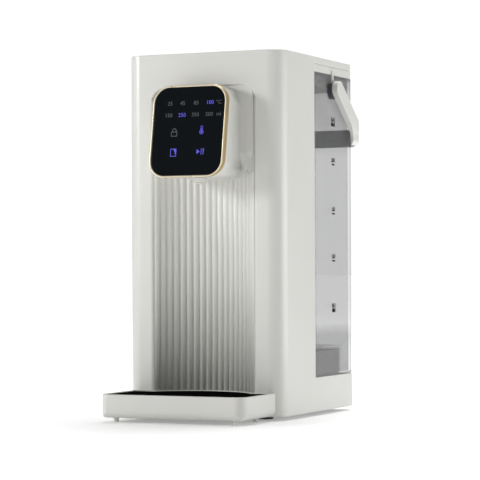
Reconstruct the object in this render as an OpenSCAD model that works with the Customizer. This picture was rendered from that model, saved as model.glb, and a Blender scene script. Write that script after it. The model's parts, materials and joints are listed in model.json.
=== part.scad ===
// Instant hot water dispenser: a slim worktop column with a lift-out water tank behind it.
// Millimetres, +Z up, the front looks towards -Y and the worktop is at z = 0.

/* [Body] */
// width of the casing
body_w = 146; // [130:1:180]
// height to the top of the cover and of the lid
body_h = 310; // [300:1:360]
// depth from the front face to the rear of the tank
body_d = 159; // [150:1:180]
// depth of the column in front of the tank
column_d = 71.5; // [68:0.5:84]
// radius of the front vertical corners
corner_r = 14; // [8:0.5:18]
// radius of the rear vertical corners
rear_r = 2.5; // [2:0.5:6]
// wall thickness of the casing
wall = 2.5; // [2:0.1:3]
// height of the top cover's edge
cover_t = 4; // [3:0.5:8]
// thickness of the rear panel, the deck and the base plate
plate_t = 2.5; // [2:0.1:3]
// clearance between fixed plastic pieces
fit = 0.2; // [0.1:0.05:0.4]

/* [Base] */
// height of the rubber feet
foot_h = 3; // [2:0.5:5]
// radius of a rubber foot
foot_r = 7; // [5:0.5:9]
// height of the tank deck above the worktop
deck_z = 32.5; // [30:0.5:40]
// distance between the side of the body and the plinth that stands up into the tank
plinth_side = 5; // [5:0.5:20]
// depth of the plinth
plinth_d = 61; // [48:1:63]
// height of the plinth above the deck
plinth_h = 22; // [20:0.5:30]
// radius of the cord gland's bore
gland_bore_r = 3.6; // [3:0.1:4.5]

/* [Niche] */
// width of the niche in the front face
niche_w = 96; // [86:1:104]
// depth of the niche at its middle
niche_depth = 24; // [16:1:26]
// distance from the top of the body to the niche
niche_gap = 28.5; // [20:0.5:40]
// radius of the niche's top corners
niche_r = 13; // [6:0.5:18]
// height of the niche's floor
niche_floor = 8; // [7.8:0.1:9]
// wall thickness of the niche panel
niche_t = 2.2; // [1.8:0.1:3]
// number of flutes round the niche
flute_count = 19; // [9:2:25]
// radius of a flute
flute_r = 2.7; // [2:0.1:4]
// height that a flute stands out of the wall
flute_rise = 1.3; // [0.6:0.1:1.6]

/* [Head] */
// width of the control head
head_w = 68; // [56:1:76]
// height of the control head
head_h = 77.7; // [66:0.1:84]
// corner radius of the control head
head_r = 14.5; // [8:0.5:18]
// distance that the middle of the face stands in front of the casing
head_out = 29; // [24:1:40]
// tilt of the face
head_tilt = 9.6; // [0:0.2:14]
// depth of the trim ring
ring_d = 6; // [4:0.5:8]
// width of the trim ring's lip
ring_lip = 1.5; // [1.2:0.1:3]
// thickness of the touch glass
glass_t = 3; // [2:0.1:3.2]
// distance of the nozzle in front of the casing
nozzle_out = 5.5; // [3:0.5:9]
// radius of the nozzle's collar
nozzle_r = 6; // [5:0.2:8]

/* [Tank] */
// wall thickness of the tank
tank_t = 2.5; // [2:0.1:3]
// height of the lid's edge
lid_h = 6.3; // [5:0.1:9]
// height of the tank collar's edge
collar_h = 6.7; // [5:0.1:9]
// depth of the collar's skirt inside the tank
skirt_h = 12; // [8:1:16]
// travel that opens the tank valve
valve_travel = 4; // [3:0.5:4.5]
// turns of the valve spring
spring_turns = 5; // [4:1:7]

/* [Bail] */
// height of the bail's pivot below the top
pivot_drop = 27.7; // [26:0.1:30]
// angle of the resting arm below level
bail_rest = 37.5; // [34:0.5:39]
// distance between the tank's side and an arm
arm_gap = 3.3; // [2:0.1:5]
// thickness of an arm
arm_t = 5.4; // [4:0.1:7]
// width of an arm
arm_w = 14; // [12:0.2:15]
// distance between the pivot and an arm's upper edge
arm_up = 8.5; // [7:0.1:8.8]
// distance that the middle of an arm's round end stands forward of the pivot
hub_out = 1; // [0:0.1:2]
// thickness of the grip bar
bar_t = 6.5; // [5:0.1:9]
// height of the grip bar's inner face
bar_h = 20.5; // [15:0.5:24]
// drop of the grip bar's top between the arms
bar_dip = 4.7; // [1:0.1:6]
// radius of the bail's rear corners, seen from above
bail_r = 12; // [8:0.5:14]
// radius of the bail's lower corners, seen from behind
bail_low_r = 7; // [3:0.5:9]
// distance that the lower end of an arm is drawn in
bail_taper = 2.2; // [0:0.1:3]
// radius of a pivot bush
bush_r = 7; // [6.4:0.1:7.6]
// depth of a bush's seat in the tank's side
bush_seat = 1.3; // [1:0.1:1.4]
// radius of a trunnion
trunnion_r = 4; // [3:0.1:4.6]
// running clearance of a trunnion
run = 0.05; // [0.03:0.01:0.1]

/* [Tray] */
// width of the drip tray
tray_w = 133; // [116:1:138]
// distance that the tray stands out of the casing
tray_out = 64; // [50:1:75]
// height of the tray's rim
tray_h = 23; // [20:0.5:26]
// radius of the tray's front corners
tray_r = 10; // [8:0.5:18]
// radius of the tray's lower edge
tray_edge_r = 6.5; // [4:0.5:7]
// wall thickness of the tray
tray_t = 2.2; // [1.8:0.1:2.8]
// width of a grille slot
slot_w = 3; // [2:0.1:4]
// spacing of the grille slots
slot_pitch = 7.5; // [6:0.5:10]

/* [Water path] */
// outer radius of a hose
hose_r = 4.6; // [4:0.1:5]
// inner radius of a hose
hose_in = 3.1; // [2.8:0.1:3.3]
// radius of a hose bend
bend = 9; // [8:0.5:10]
// radius of the pump housing
pump_r = 17; // [15.5:0.5:17.5]
// radius of the heater tube
heater_r = 17; // [15:0.5:17.5]
// length of the heater tube
heater_len = 110; // [80:1:125]
// height between the heater's upper cap and the middle of the outlet hose over it
heater_room = 21.7; // [20:0.1:26]

/* [Hidden] */
$fn = 48;
gap = 0.3;
deck_under = deck_z - plate_t;
base_top = foot_h + plate_t;
panel_y = column_d - plate_t;
inner_x = body_w / 2 - wall;
cover_z = body_h - cover_t;
niche_top = body_h - niche_gap;
niche_R = (niche_w * niche_w / 4 + niche_depth * niche_depth) / (2 * niche_depth);
niche_yc = niche_depth - niche_R;
niche_half = asin(niche_w / 2 / niche_R);
flute_step = 2 * niche_half / (flute_count + 0.6);
head_top = niche_top - 0.9;
head_zc = head_top - head_h / 2;
head_bottom = head_top - head_h;
flute_top = head_bottom + 3;
house_w = head_w - 1;
house_h = head_h - 1;
house_r = head_r - 0.5;
house_t = 2;
nozzle_z = head_bottom + 0.5;
service_y = panel_y - 20;
plinth_w = body_w - 2 * plinth_side;
plinth_y0 = column_d + 3;
plinth_y1 = plinth_y0 + plinth_d;
plinth_top = deck_z + plinth_h;
sock_y = (plinth_y0 + plinth_y1) / 2;
sock_r = 12;
cup_r = 10.6;
barb_r = hose_in - 0.1;
barb_bore = barb_r - 1;
low_z = base_top + 12.5;
pump_z = low_z + bend + 7;
pump_h = 18;
motor_r = pump_r - 3;
motor_h = 38;
shaft_r = 1.5;
heater_x = -(inner_x - heater_r - 8);
cap_h = 8;
clip_h = 10;
clip_in = 14;
strap_h = 12;
hose_z = head_zc + 14;
heater_z = hose_z - heater_room - cap_h - heater_len;
board_y = panel_y - 8.5;
tank_w = body_w - 0.6;
tank_y0 = column_d + 1;
tank_d = body_d - tank_y0;
tank_yc = tank_y0 + tank_d / 2;
tank_z0 = deck_z + gap;
lid_z = body_h - lid_h;
collar_z = lid_z - collar_h;
well_z = plinth_top + 1.5;
well_top = well_z + tank_t;
mouth_in = 7;
valve_r = 9;
valve_low = well_z - 10;
seat_z = well_z + 0.5;
poppet_z = seat_z + 0.4;
poppet_h = 2.6;
cage_top = well_top + 18 + valve_travel;
spring_z0 = poppet_z + poppet_h + 0.1;
spring_z1 = cage_top - 2.1;
pin_top = poppet_z - 10 - gap;
pivot_z = body_h - pivot_drop;
pivot_y = tank_yc - 4.75;
arm_x = tank_w / 2 + arm_gap;
bail_half = arm_x + arm_t;
bar_y = body_d + gap;
rest_c = cos(bail_rest);
rest_s = sin(bail_rest);
bar_rear = bar_y + bar_t;
lid_swing = norm([body_d - pivot_y, body_h - pivot_z]) + 0.8;
tray_z0 = foot_h + gap;
tongue_R = niche_R - flute_rise - 0.7;
tongue_z = niche_floor + 1;
grille_z = tray_h - 2.7;
grille_t = 2;
shift_y = -(bar_rear - tray_out) / 2;
spring_r = 4.2;
wire_r = 0.5;
spring_steps = 14;
leg_x = plinth_w / 2 - 3;
leg_y = [column_d + 16.5, body_d - 14];
boss_z = [deck_z + 24, body_h - 34];
board_w = inner_x + 4;
board_top = min(hose_z - 28, boss_z[1] - 8);
board_h = min(106, board_top - pump_z - pump_h - motor_h - 10);

// moves the whole part so that its box stands centred on the origin
module place() {
  translate([0, shift_y, 0]) children();
}

// rounded rectangle centred on the origin
module rounded(w, d, r) {
  square([w - 2 * r, d], center = true);
  square([w, d - 2 * r], center = true);
  for (x = [-1, 1], y = [-1, 1]) {
    translate([x * (w / 2 - r), y * (d / 2 - r)]) circle(r);
  }
}

// a flat figure in x and z, pulled along y from y0 to y1
module along_y(y0, y1) {
  translate([0, y1, 0]) rotate([90, 0, 0]) linear_extrude(y1 - y0) children();
}

// plan of the column, drawn in by g
module column_plan(g) {
  translate([-(body_w / 2 - g), corner_r]) square([body_w - 2 * g, column_d - corner_r]);
  translate([-(body_w / 2 - corner_r), g]) square([body_w - 2 * corner_r, corner_r]);
  for (s = [-1, 1]) {
    translate([s * (body_w / 2 - corner_r), corner_r]) circle(corner_r - g);
  }
}

// plan of the whole base, drawn in by g
module base_plan(g) {
  k = max(rear_r, g + 0.5);
  column_plan(g);
  translate([-(body_w / 2 - g), column_d - 1]) square([body_w - 2 * g, body_d - k - column_d + 1]);
  translate([-(body_w / 2 - k), column_d - 1]) square([body_w - 2 * k, body_d - g - column_d + 1]);
  for (s = [-1, 1]) {
    translate([s * (body_w / 2 - k), body_d - k]) circle(k - g);
  }
}

// plan of the tank, drawn in by g
module tank_plan(g) {
  translate([0, tank_yc]) rounded(tank_w - 2 * g, tank_d - 2 * g, max(rear_r - g, 1.5));
}

// front outline of the niche, grown by g
module niche_outline(g) {
  w = niche_w + 2 * g;
  r = niche_r + g;
  z0 = niche_floor - g;
  translate([-w / 2, z0]) square([w, niche_top + g - r - z0]);
  translate([-w / 2 + r, z0]) square([w - 2 * r, niche_top + g - z0]);
  for (s = [-1, 1]) {
    translate([s * (w / 2 - r), niche_top + g - r]) circle(r);
  }
}

// the hollow of the niche, grown by g, from the plane y0 backwards
module niche_void(g, y0) {
  intersection() {
    translate([0, niche_yc, 0]) cylinder(r = niche_R + g, h = body_h);
    along_y(y0, niche_depth + g + 5) niche_outline(g);
  }
}

// a hose or a cable through points joined by right-angled bends
module hose(pts, r_out, r_in) {
  last = len(pts) - 2;
  for (i = [0 : last]) {
    a = pts[i];
    b = pts[i + 1];
    d = (b - a) / norm(b - a);
    s = i > 0 ? a + d * bend : a;
    e = i < last ? b - d * bend : b;
    translate(s) rotate([0, acos(d.z), atan2(d.y, d.x)]) linear_extrude(norm(e - s)) difference() {
      circle(r_out);
      circle(r_in);
    }
    if (i < last) {
      n = (pts[i + 2] - b) / norm(pts[i + 2] - b);
      c = e + n * bend;
      k = cross(-n, d);
      m = [[-n.x, d.x, k.x, c.x], [-n.y, d.y, k.y, c.y], [-n.z, d.z, k.z, c.z], [0, 0, 0, 1]];
      multmatrix(m) rotate_extrude(angle = 90) translate([bend, 0]) difference() {
        circle(r_out);
        circle(r_in);
      }
    }
  }
}

// a strap round a vertical cylinder, footed on the rear panel
module strap(x, z, r, h) {
  translate([x, service_y, z]) difference() {
    union() {
      cylinder(r = r + 2, h = h);
      translate([-7, 0, 0]) cube([14, panel_y - service_y, h]);
    }
    translate([0, 0, -1]) cylinder(r = r + 0.15, h = h + 2);
  }
}

// a screw along +z with its head at the bottom
module screw(head_h, length) {
  difference() {
    cylinder(r = 2.8, h = head_h);
    translate([0, 0, -0.1]) linear_extrude(0.8) square([3.4, 0.8], center = true);
  }
  translate([0, 0, head_h]) cylinder(r = 1.4, h = length);
}

// positions of the deck's legs
module at_legs() {
  for (s = [-1, 1], y = leg_y) {
    translate([s * leg_x, y, 0]) children();
  }
}

// positions of the rear panel's screws
module at_rear_bosses() {
  for (s = [-1, 1], z = boss_z) {
    translate([s * (inner_x - 5), panel_y, z]) children();
  }
}

// white casing: front, sides and base skirt in one moulding
module front_casing() {
  color("white") place() difference() {
    union() {
      difference() {
        union() {
          translate([0, 0, foot_h]) linear_extrude(cover_z - foot_h) column_plan(0);
          translate([0, 0, foot_h]) linear_extrude(deck_z - foot_h) base_plan(0);
        }
        translate([0, 0, foot_h - 1]) linear_extrude(deck_z - foot_h + 1) base_plan(wall);
        translate([0, 0, deck_z - 1]) linear_extrude(body_h) column_plan(wall);
        translate([-inner_x, column_d - 5, deck_z - 1]) cube([2 * inner_x, 10, body_h]);
      }
      at_rear_bosses() translate([-5.5, -10, -5]) cube([11, 10, 10]);
    }
    niche_void(0, -1);
    at_rear_bosses() rotate([90, 0, 0]) cylinder(r = 1.45, h = 9);
    translate([gland_x(), body_d + 1, low_z]) rotate([90, 0, 0]) cylinder(r = 6.6, h = wall + 2);
  }
}

function gland_x() = body_w / 2 - 33;

// concave back of the cup place, reeded below the head
module niche_panel() {
  color("white") place() difference() {
    union() {
      difference() {
        union() {
          niche_void(niche_t, wall);
          along_y(wall, wall + 2) niche_flange();
        }
        niche_void(0, -1);
      }
      flutes();
    }
    translate([-14, niche_depth - 12, hose_z - 16]) cube([44, 20, 26]);
  }
}

// flange of the niche panel behind the front wall
module niche_flange() {
  intersection() {
    niche_outline(6);
    translate([-body_w / 2, base_top + gap]) square([body_w, body_h]);
  }
}

// half-round reeds on the niche wall
module flutes() {
  side = (flute_count - 1) / 2;
  for (k = [-side : side]) {
    a = k * flute_step;
    ra = niche_R - flute_rise + flute_r;
    intersection() {
      translate([ra * sin(a), niche_yc + ra * cos(a), niche_floor])
        cylinder(r = flute_r, h = flute_top - niche_floor);
      niche_void(niche_t / 2, wall + 0.5);
    }
  }
}

// lid of the column with a locating lip
module top_cover() {
  color("white") place() {
    translate([0, 0, cover_z]) linear_extrude(cover_t) column_plan(0);
    translate([0, 0, cover_z - 5]) linear_extrude(5) difference() {
      intersection() {
        column_plan(wall + fit);
        translate([-body_w / 2, 0]) square([body_w, panel_y - gap]);
      }
      column_plan(wall + fit + 1.8);
    }
  }
}

// wall of the column towards the tank
module rear_panel() {
  color("white") place() difference() {
    union() {
      translate([-inner_x + fit, panel_y, deck_z]) cube([2 * (inner_x - fit), plate_t, cover_z - deck_z]);
      for (s = [-1, 1]) {
        translate([s * 30 - 1, panel_y - 2, deck_z + 80]) cube([2, 2.5, 20]);
      }
    }
    at_rear_bosses() {
      rotate([-90, 0, 0]) cylinder(r = 1.6, h = plate_t + 1);
      translate([0, plate_t - 1.7, 0]) rotate([-90, 0, 0]) cylinder(r = 3.1, h = 3);
    }
  }
}

// screws of the rear panel
module rear_screws() {
  color("silver") place() at_rear_bosses() {
    translate([0, plate_t - 0.1, 0]) rotate([90, 0, 0]) screw(1.6, 7);
  }
}

// deck under the tank with the plinth, standing on four legs
module tank_deck() {
  h = plinth_top - deck_z;
  color("white") place() difference() {
    union() {
      translate([0, 0, deck_under]) linear_extrude(plate_t) intersection() {
        base_plan(wall + fit);
        translate([-body_w / 2, panel_y]) square([body_w, body_d]);
      }
      translate([-plinth_w / 2, plinth_y0, deck_under]) cube([plinth_w, plinth_d, h + plate_t]);
      at_legs() translate([0, 0, base_top]) cylinder(r = 4.5, h = deck_under - base_top + 1);
    }
    translate([-plinth_w / 2 + plate_t, plinth_y0 + plate_t, deck_under - 1])
      cube([plinth_w - 2 * plate_t, plinth_d - 2 * plate_t, h + 1]);
    translate([0, sock_y, plinth_top - plate_t - 1]) cylinder(r = sock_r + 0.15, h = plate_t + 2);
    at_legs() translate([0, 0, base_top - 1]) cylinder(r = 1.45, h = 11);
  }
}

// floor of the body
module base_plate() {
  color("white") place() difference() {
    translate([0, 0, foot_h]) linear_extrude(plate_t) base_plan(wall + fit);
    at_legs() {
      translate([0, 0, foot_h - 1]) cylinder(r = 3.1, h = 2.7);
      translate([0, 0, foot_h]) cylinder(r = 1.6, h = plate_t + 1);
    }
    for (i = [-3 : 3]) {
      translate([i * 7 - 1.25, column_d - 30, foot_h - 1]) cube([2.5, 24, plate_t + 2]);
    }
  }
}

// four feet under the base plate
module rubber_feet() {
  color("dimgray") place() for (s = [-1, 1], y = [20, body_d - 27]) {
    translate([s * (body_w / 2 - 25), y, 0]) {
      cylinder(r = foot_r, h = foot_h);
    }
  }
}

// screws that hold the base plate to the deck's legs
module base_screws() {
  color("silver") place() at_legs() {
    translate([0, 0, foot_h + 0.1]) screw(1.6, 9);
  }
}

// bush where the mains lead enters
module cord_gland() {
  color("dimgray") place() translate([gland_x(), body_d, low_z]) rotate([-90, 0, 0]) difference() {
    union() {
      cylinder(r = 8.6, h = 2);
      translate([0, 0, -wall - 9]) cylinder(r = 6.5, h = wall + 9.5);
    }
    translate([0, 0, -wall - 10]) cylinder(r = gland_bore_r, h = wall + 14);
  }
}

// terminals of the mains lead
module terminal_block() {
  color("white") place() translate([gland_x() - 12, body_d - 43, base_top]) difference() {
    cube([24, 14, 13]);
    for (i = [0 : 2]) {
      translate([4 + 8 * i, -1, 7]) rotate([-90, 0, 0]) cylinder(r = 2, h = 16);
      translate([4 + 8 * i, 7, 9]) cylinder(r = 2.4, h = 5);
    }
  }
}

// upright prism of the head's outline
module head_prism(w, h, r, y0, y1) {
  along_y(y0, y1) translate([0, head_zc]) rounded(w, h, r);
}

// slice parallel to the tilted face, from depth d0 to depth d1 behind it
module face_slab(d0, d1) {
  translate([0, -head_out, head_zc]) rotate([-head_tilt, 0, 0])
    translate([-head_w, d0, -head_h]) cube([2 * head_w, d1 - d0, 2 * head_h]);
}

// white body of the head, ending on the niche wall
module head_housing() {
  color("white") place() difference() {
    intersection() {
      head_prism(house_w, house_h, house_r, -head_out - 30, niche_depth);
      face_slab(ring_d, 90);
      translate([0, niche_yc, 0]) cylinder(r = niche_R - 0.15, h = body_h);
    }
    head_prism(house_w - 2 * house_t, house_h - 2 * house_t, house_r - house_t,
      -head_out - 31, niche_depth + 9);
    translate([0, -nozzle_out, head_bottom - 1]) cylinder(r = 4.65, h = 5);
    translate([0, niche_yc, 0]) difference() {
      cylinder(r = niche_R + 1, h = flute_top + gap);
      translate([0, 0, -1]) cylinder(r = niche_R - flute_rise - gap, h = body_h);
    }
  }
}

// gold ring round the glass
module trim_ring() {
  color("goldenrod") place() difference() {
    intersection() {
      head_prism(head_w, head_h, head_r, -head_out - 30, niche_depth);
      face_slab(0, ring_d);
    }
    head_prism(head_w - 2 * ring_lip, head_h - 2 * ring_lip, head_r - ring_lip, -head_out - 31, niche_depth);
  }
}

// figure of the pieces that sit inside the ring
module inside_head(g, d0, d1) {
  w = head_w - 2 * ring_lip - 2 * g;
  h = head_h - 2 * ring_lip - 2 * g;
  intersection() {
    head_prism(w, h, head_r - ring_lip - g, -head_out - 30, niche_depth);
    face_slab(d0, d1);
  }
}

// black touch glass
module touch_glass() {
  color("black") place() inside_head(fit, 0.4, 0.4 + glass_t);
}

// mask that guides the light of each symbol
module light_mask() {
  color("black") place() difference() {
    inside_head(1, glass_t + 0.4, glass_t + 2.6);
    for (i = [-1.5 : 1.5], k = [-2 : 2]) {
      translate([i * 13, -head_out - 5, head_zc + k * 13]) rotate([-90, 0, 0]) cylinder(r = 3.4, h = 30);
    }
  }
}

// circuit board with the lights and the touch sensor
module display_board() {
  d = glass_t + 2.6;
  color("darkgreen") place() {
    inside_head(1, d, d + 1.6);
    translate([0, -head_out, head_zc]) rotate([-head_tilt, 0, 0]) {
      translate([18, d + 1.4, 10]) cube([12, 3.8, 7]);
      translate([-20, d + 1.4, -14]) cube([13, 1.6, 13]);
      translate([2, d + 1.4, -24]) cube([10, 2.6, 8]);
    }
  }
}

// flat cable between the two boards
module display_cable() {
  y0 = -head_out + (glass_t + 7.8) * cos(head_tilt) + 14.2 * sin(head_tilt) + gap;
  y1 = board_y - 4 - gap;
  z0 = hose_z - 2;
  z1 = board_top - 4;
  color("gray") place() translate([19, 0, 0]) {
    translate([0, y0, z0]) cube([10, y1 - y0, 0.8]);
    translate([0, y1 - 0.8, z1]) cube([10, 0.8, z0 - z1 + 0.8]);
  }
}

// outlet under the head
module nozzle() {
  color("white") place() translate([0, -nozzle_out, nozzle_z]) difference() {
    union() {
      translate([0, 0, -4]) cylinder(r = nozzle_r, h = 4);
      translate([0, 0, -5.4]) cylinder(r = 3.4, h = 2);
      cylinder(r = 4.5, h = 7);
      cylinder(r = barb_r, h = 16);
    }
    translate([0, 0, -8]) cylinder(r = barb_bore, h = 40);
  }
}

// cup on the plinth that takes the tank's valve and opens it
module inlet_socket() {
  cup_z = plinth_top - 16;
  color("gray") place() translate([0, sock_y, 0]) {
    difference() {
      union() {
        translate([0, 0, cup_z - 2]) cylinder(r = sock_r, h = plinth_top - cup_z + 2);
        translate([0, 0, plinth_top - plate_t - 2]) cylinder(r = 16, h = 2);
        translate([0, 0, low_z - 6]) cylinder(r = 9, h = cup_z - low_z + 6);
        translate([0, 0, low_z]) rotate([90, 0, 0]) cylinder(r = barb_r, h = 22);
      }
      translate([0, 0, cup_z]) cylinder(r = cup_r, h = 40);
      for (a = [0 : 60 : 300]) {
        rotate([0, 0, a]) translate([5.2, 0, cup_z - 3]) cylinder(r = 1.8, h = 5);
      }
      translate([0, 0, low_z - 4]) cylinder(r = 7.4, h = cup_z - 2 - low_z + 4);
      translate([0, 0, low_z]) rotate([90, 0, 0]) cylinder(r = barb_bore, h = 30);
    }
    translate([0, 0, cup_z]) cylinder(r = 1.6, h = pin_top - cup_z);
  }
}

// lip ring in the socket's cup
module inlet_seal() {
  color("dimgray") place() translate([0, sock_y, plinth_top - 6]) difference() {
    cylinder(r = cup_r - 0.05, h = 4);
    translate([0, 0, -1]) cylinder(r = valve_r + gap, h = 6);
  }
}

// hose from the socket to the pump
module inlet_hose() {
  color("silver") place() hose([
    [0, sock_y - 9.5, low_z], [0, service_y, low_z], [0, service_y, pump_z - 0.4]
  ], hose_r, hose_in);
}

// cup of the pump with both its barbs
module pump_housing() {
  color("gray") place() translate([0, service_y, pump_z]) difference() {
    union() {
      cylinder(r = pump_r, h = pump_h);
      translate([0, 0, -6]) cylinder(r = barb_r, h = 7);
      translate([0, 0, 10]) rotate([0, -90, 0]) cylinder(r = barb_r, h = pump_r + 11);
    }
    translate([0, 0, 2.5]) cylinder(r = pump_r - 2.5, h = pump_h);
    translate([0, 0, -7]) cylinder(r = barb_bore, h = 12);
    translate([0, 0, 10]) rotate([0, -90, 0]) cylinder(r = barb_bore, h = pump_r + 20);
  }
}

// motor with the flange that closes the pump
module pump_motor() {
  color("silver") place() translate([0, service_y, pump_z + pump_h]) difference() {
    union() {
      cylinder(r = pump_r, h = 2);
      cylinder(r = motor_r, h = motor_h);
      for (s = [-1, 1]) {
        translate([s * 7 - 2, -1, motor_h]) cube([4, 2, 5]);
      }
    }
    translate([0, 0, -1]) cylinder(r = shaft_r + run, h = motor_h - 8);
  }
}

// strap that holds the motor
module pump_strap() {
  color("white") place() strap(0, pump_z + pump_h + strap_h, motor_r, strap_h);
}

// shaft with the impeller
module pump_rotor() {
  color("gray") place() translate([0, service_y, pump_z + 4.5]) {
    cylinder(r = pump_r - 4, h = 1.6);
    cylinder(r = 4, h = 11);
    cylinder(r = shaft_r, h = pump_h + motor_h - 16);
    for (a = [0 : 60 : 300]) {
      rotate([0, 0, a]) translate([3, -0.7, 1]) cube([pump_r - 8.4, 1.4, 8]);
    }
  }
}

// hose from the pump up to the heater
module pump_hose() {
  color("silver") place() hose([
    [-pump_r - 0.4, service_y, pump_z + 10],
    [heater_x, service_y, pump_z + 10],
    [heater_x, service_y, heater_z - cap_h - 0.4]
  ], hose_r, hose_in);
}

// steel tube that heats the water as it flows
module heater_tube() {
  color("silver") place() translate([heater_x, service_y, heater_z]) difference() {
    cylinder(r = heater_r, h = heater_len);
    translate([0, 0, -1]) cylinder(r = heater_r - 2, h = heater_len + 2);
  }
}

// end caps of the heater with their barbs
module heater_caps() {
  color("gray") place() translate([heater_x, service_y, heater_z]) {
    heater_cap();
    translate([0, 0, heater_len]) mirror([0, 0, 1]) heater_cap();
  }
}

// one end cap, its plug pointing up
module heater_cap() {
  difference() {
    union() {
      translate([0, 0, -cap_h]) cylinder(r = heater_r + 1, h = cap_h);
      cylinder(r = heater_r - 2.1, h = 5);
      translate([0, 0, -cap_h - 7]) cylinder(r = barb_r, h = 8);
    }
    translate([0, 0, -cap_h - 8]) cylinder(r = barb_bore, h = 30);
  }
}

// clips of the heater
module heater_clips() {
  color("white") place() {
    strap(heater_x, heater_z + clip_in, heater_r, clip_h);
    strap(heater_x, heater_z + heater_len - clip_in - clip_h, heater_r, clip_h);
  }
}

// safety cut-out on the heater
module thermal_cutout() {
  color("dimgray") place() translate([heater_x, service_y - heater_r - 0.2, heater_z + heater_len / 2]) {
    rotate([90, 0, 0]) cylinder(r = 8, h = 5);
    for (s = [-1, 1]) {
      translate([s * 4 - 1.5, -12, -0.4]) cube([3, 8, 0.8]);
    }
  }
}

// probe that reads the heated water
module temperature_probe() {
  color("silver") place() translate([heater_x + 10, service_y, heater_z + heater_len + cap_h]) {
    cylinder(r = 3.4, h = 3, $fn = 6);
    cylinder(r = 2, h = 9);
  }
}

// hose from the heater to the nozzle
module outlet_hose() {
  color("silver") place() hose([
    [heater_x, service_y, heater_z + heater_len + cap_h + 0.4],
    [heater_x, service_y, hose_z],
    [0, service_y, hose_z],
    [0, -nozzle_out, hose_z],
    [0, -nozzle_out, nozzle_z + 7.4]
  ], hose_r, hose_in);
}

// mains board with its parts
module power_board() {
  color("darkgreen") place() translate([-8, board_y, board_top - board_h]) {
    difference() {
      cube([board_w, 1.6, board_h]);
      at_board_corners() translate([0, -1, 0]) rotate([-90, 0, 0]) cylinder(r = 1.6, h = 4);
    }
    translate([10, -18, 12]) cube([24, 18.2, 22]);
    translate([44, -16, 14]) cube([18, 16.2, 15]);
    translate([46, -20, board_h - 46]) cube([4, 20.2, 28]);
    for (i = [0 : 2]) {
      translate([12 + i * 12, 0.2, board_h - 30]) rotate([90, 0, 0]) cylinder(r = 5, h = 16);
    }
    translate([26.4, -4, board_h - 12]) cube([11.2, 4.2, 6]);
  }
}

// corners where the power board is held
module at_board_corners() {
  for (x = [4, board_w - 4], z = [4, board_h - 4]) {
    translate([x, 0, z]) children();
  }
}

// pillars between the power board and the rear panel
module board_standoffs() {
  color("gray") place() translate([-8, board_y, board_top - board_h]) at_board_corners() {
    translate([0, 1.6, 0]) rotate([-90, 0, 0]) cylinder(r = 3, h = panel_y - board_y - 1.6);
    translate([0, -1.4, 0]) rotate([-90, 0, 0]) cylinder(r = 2.8, h = 1.4);
    translate([0, -0.2, 0]) rotate([-90, 0, 0]) cylinder(r = 1.5, h = 2);
  }
}

// smoked clear tank with a well over the plinth
module tank_body() {
  side = plinth_w / 2 + 1.2;
  rear = plinth_y1 + 1.2;
  color("slategray") place() difference() {
    translate([0, 0, tank_z0]) linear_extrude(collar_z - tank_z0) tank_plan(0);
    difference() {
      translate([0, 0, tank_z0 + tank_t]) linear_extrude(body_h) tank_plan(tank_t);
      translate([-side - tank_t, tank_y0 - 1, 0])
        cube([2 * (side + tank_t), rear + tank_t - tank_y0 + 1, well_top]);
    }
    translate([-side, tank_y0 - 1, 0]) cube([2 * side, rear - tank_y0 + 1, well_z]);
    translate([0, sock_y, well_z - 1]) cylinder(r = valve_r + 0.05, h = tank_t + 2);
    for (s = [-1, 1]) {
      translate([s * (tank_w / 2 - bush_seat), pivot_y, pivot_z]) rotate([0, s * 90, 0])
        cylinder(r = bush_r + 0.05, h = 10);
    }
  }
}

// white rim of the tank with its inner skirt and the ears over the pivots
module tank_collar() {
  color("white") place() {
    difference() {
      union() {
        translate([0, 0, collar_z]) linear_extrude(collar_h) tank_plan(0);
        translate([0, 0, collar_z - skirt_h]) linear_extrude(skirt_h + 1) tank_plan(tank_t + fit);
      }
      translate([0, 0, collar_z]) linear_extrude(collar_h + 1) tank_plan(mouth_in);
      translate([0, 0, collar_z - skirt_h - 1]) linear_extrude(skirt_h + 2) tank_plan(tank_t + fit + 1.6);
    }
    for (s = [-1, 1]) {
      translate([s * (tank_w / 2 + 1) - 0.9, pivot_y - 1.6, pivot_z + bush_r + 0.1])
        cube([1.8, 3.2, collar_z - pivot_z - bush_r + 3]);
      translate([s * tank_w / 2 - 1.5, pivot_y - 1.6, collar_z]) cube([3, 3.2, 3.1]);
    }
  }
}

// lift-off lid with a hollow plug
module tank_lid() {
  plug_z = lid_z + fit - 7;
  color("white") place() difference() {
    union() {
      translate([0, 0, lid_z + fit]) linear_extrude(lid_h - fit) tank_plan(0);
      translate([0, 0, plug_z]) linear_extrude(8) tank_plan(mouth_in + 0.5);
    }
    translate([0, 0, plug_z - 1]) linear_extrude(lid_h + 4.5) tank_plan(mouth_in + 3.5);
    translate([0, 0, plug_z + 1.6]) linear_extrude(2.6) difference() {
      tank_plan(mouth_in);
      tank_plan(mouth_in + 2);
    }
  }
}

// soft ring in the groove of the lid's plug
module lid_seal() {
  color("gray") place() translate([0, 0, lid_z + fit - 5.3]) linear_extrude(2.4) difference() {
    tank_plan(mouth_in + 0.3);
    tank_plan(mouth_in + 2);
  }
}

// height of the line that runs along a resting arm at distance k above the pivot
function arm_edge(y, k) = (k - y * rest_s) / rest_c;

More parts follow.
